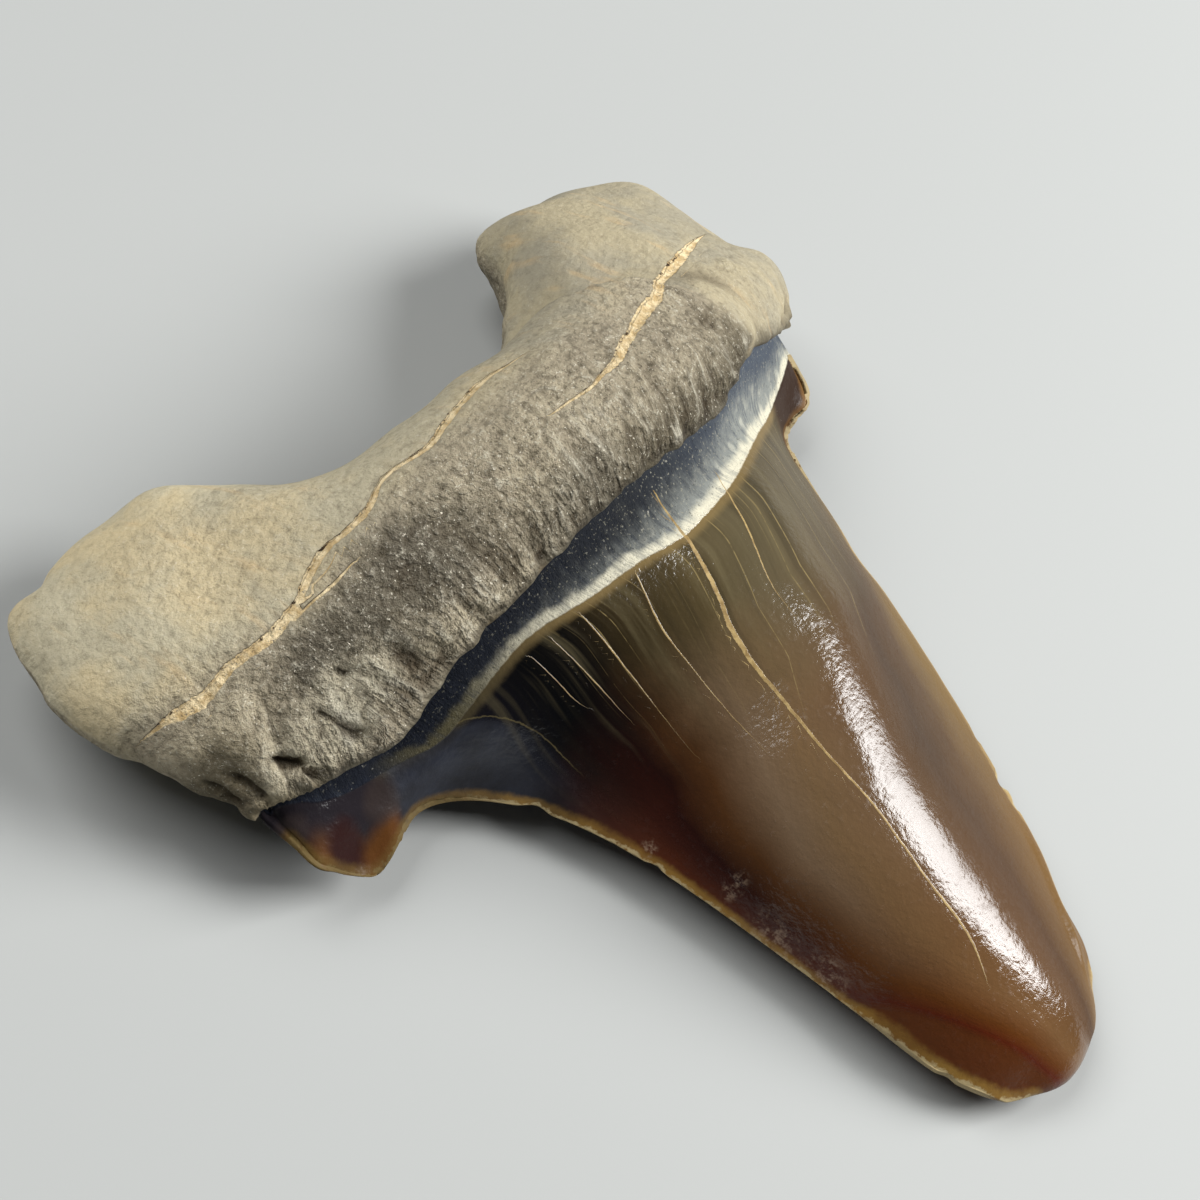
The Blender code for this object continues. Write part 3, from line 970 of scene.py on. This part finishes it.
# %% Fine relief
# Every height is in mm
dimples = fossil.grain(1.4, 2.0, 0.5, seed=17.0)
stone_height = (pebble * 0.4 + pores * 0.14 - grains * 0.16) * grit
stone_height = stone_height + ripples * ripple_shows * (0.5 + to_left * 0.3)
neck_height = fibres * 0.06 + pores * 0.06 + pebble * 0.05
enamel_height = polish * 0.012 + wear * 0.026 + dimples * 0.05
dull_height = stone_height * is_root + neck_height * (1 - is_root)
height = enamel_height * is_enamel + (1 - is_enamel) * dull_height
height = height - cracked * is_root * 0.05 - recess_and_shadow * is_root * 0.15 + cracked * is_enamel * 0.01
relief = fossil.node("ShaderNodeBump", values={"Strength": 1.0, "Distance": MM, "Height": height})

# %% Glossy enamel, dull stone
# Near the refractive index of apatite, the mineral of enamel
ENAMEL_IOR = 1.6

enamel_inputs = {"Base Color": base, "Roughness": roughness, "Normal": relief, "IOR": ENAMEL_IOR}
for name, value in enamel_inputs.items():
    fossil.set(fossil.shader.inputs[name], value)
stone = fossil.node(
    "ShaderNodeBsdfPrincipled",
    values={
        "Base Color": base,
        "Roughness": 0.8 - glints * 0.4,
        "Normal": relief,
        "Specular IOR Level": 0.2,
    },
)
enamel_shader = Number(fossil, fossil.shader.outputs[0])
surface_shader = fossil.node("ShaderNodeMixShader", values={0: shiny, 1: stone, 2: enamel_shader})
fossil.set(fossil.tree.nodes["Material Output"].inputs["Surface"], surface_shader)
tooth.data.materials.append(fossil.material)
print(len(fossil.tree.nodes), "nodes in the material")

# %% Ride on the frame
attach(tooth, "root")
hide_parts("tooth")

# %% [markdown]
# ## The stage
#
# A plain pale floor, a large soft key light that draws the long highlight down the crown, a broader light
# from the root's side that softens the shadows, and a dim sky. The camera looks from the photograph's
# angle, and is rolled so that the tooth stands in the frame as it does there.

# %% Floor
FLOOR_SIZE = 4.0

bpy.ops.object.select_all(action="DESELECT")
bpy.ops.mesh.primitive_plane_add(size=FLOOR_SIZE)
floor = bpy.context.active_object
floor.name = "floor"
floor_finish = Finish("pale floor")
floor_finish.set(floor_finish.shader.inputs["Base Color"], colour(168, 170, 168))
floor_finish.set(floor_finish.shader.inputs["Roughness"], 0.7)
floor.data.materials.append(floor_finish.material)

# %% Lights
TARGET = Vector((0.0, 0.0, 4.0)) * MM


def soft_light(name, toward, long_side, distance, size, watts):
    """A rectangular light that faces the tooth from one direction, with its long side along another.
    size is (long, short) in metres."""
    back = Vector(toward).normalized()
    across = Vector(long_side) - back * back.dot(Vector(long_side))
    across.normalize()
    up = back.cross(across)
    turn = Matrix((across, up, back)).transposed()
    bpy.ops.object.light_add(type="AREA", location=TARGET + back * distance, rotation=turn.to_euler())
    light = bpy.context.active_object
    light.name = name
    light.data.shape = "RECTANGLE"
    light.data.size, light.data.size_y = size
    light.data.energy = watts


soft_light("key light", (0.563, -0.507, 0.652), (-0.563, 0.343, 0.752), 0.3, (0.2, 0.15), 1.5)
soft_light("window light", (-0.15, 0.6, 0.78), (1, 0, 0), 0.5, (0.4, 0.3), 2.1)

world = bpy.data.worlds.new("studio")
bpy.context.scene.world = world
world.use_nodes = True
sky = world.node_tree.nodes["Background"]
sky.inputs["Color"].default_value = (0.94, 0.97, 1.0, 1.0)
sky.inputs["Strength"].default_value = 0.06
bpy.context.scene.view_settings.view_transform = "Standard"

# %% Camera
CAMERA_AT = Vector((-46.2, -5.7, 68.7)) * MM
LOOK_AT = Vector((-0.17, 4.88, 4.0)) * MM
CAMERA_ROLL = math.radians(30.65)
LENS = 63.0

aim = (LOOK_AT - CAMERA_AT).to_track_quat("-Z", "Y")
bpy.ops.object.camera_add(location=CAMERA_AT)
camera = bpy.context.active_object
camera.rotation_euler = (aim.to_matrix() @ Matrix.Rotation(CAMERA_ROLL, 3, "Z")).to_euler()
camera.data.lens = LENS
camera.data.clip_start = MM
bpy.context.scene.camera = camera
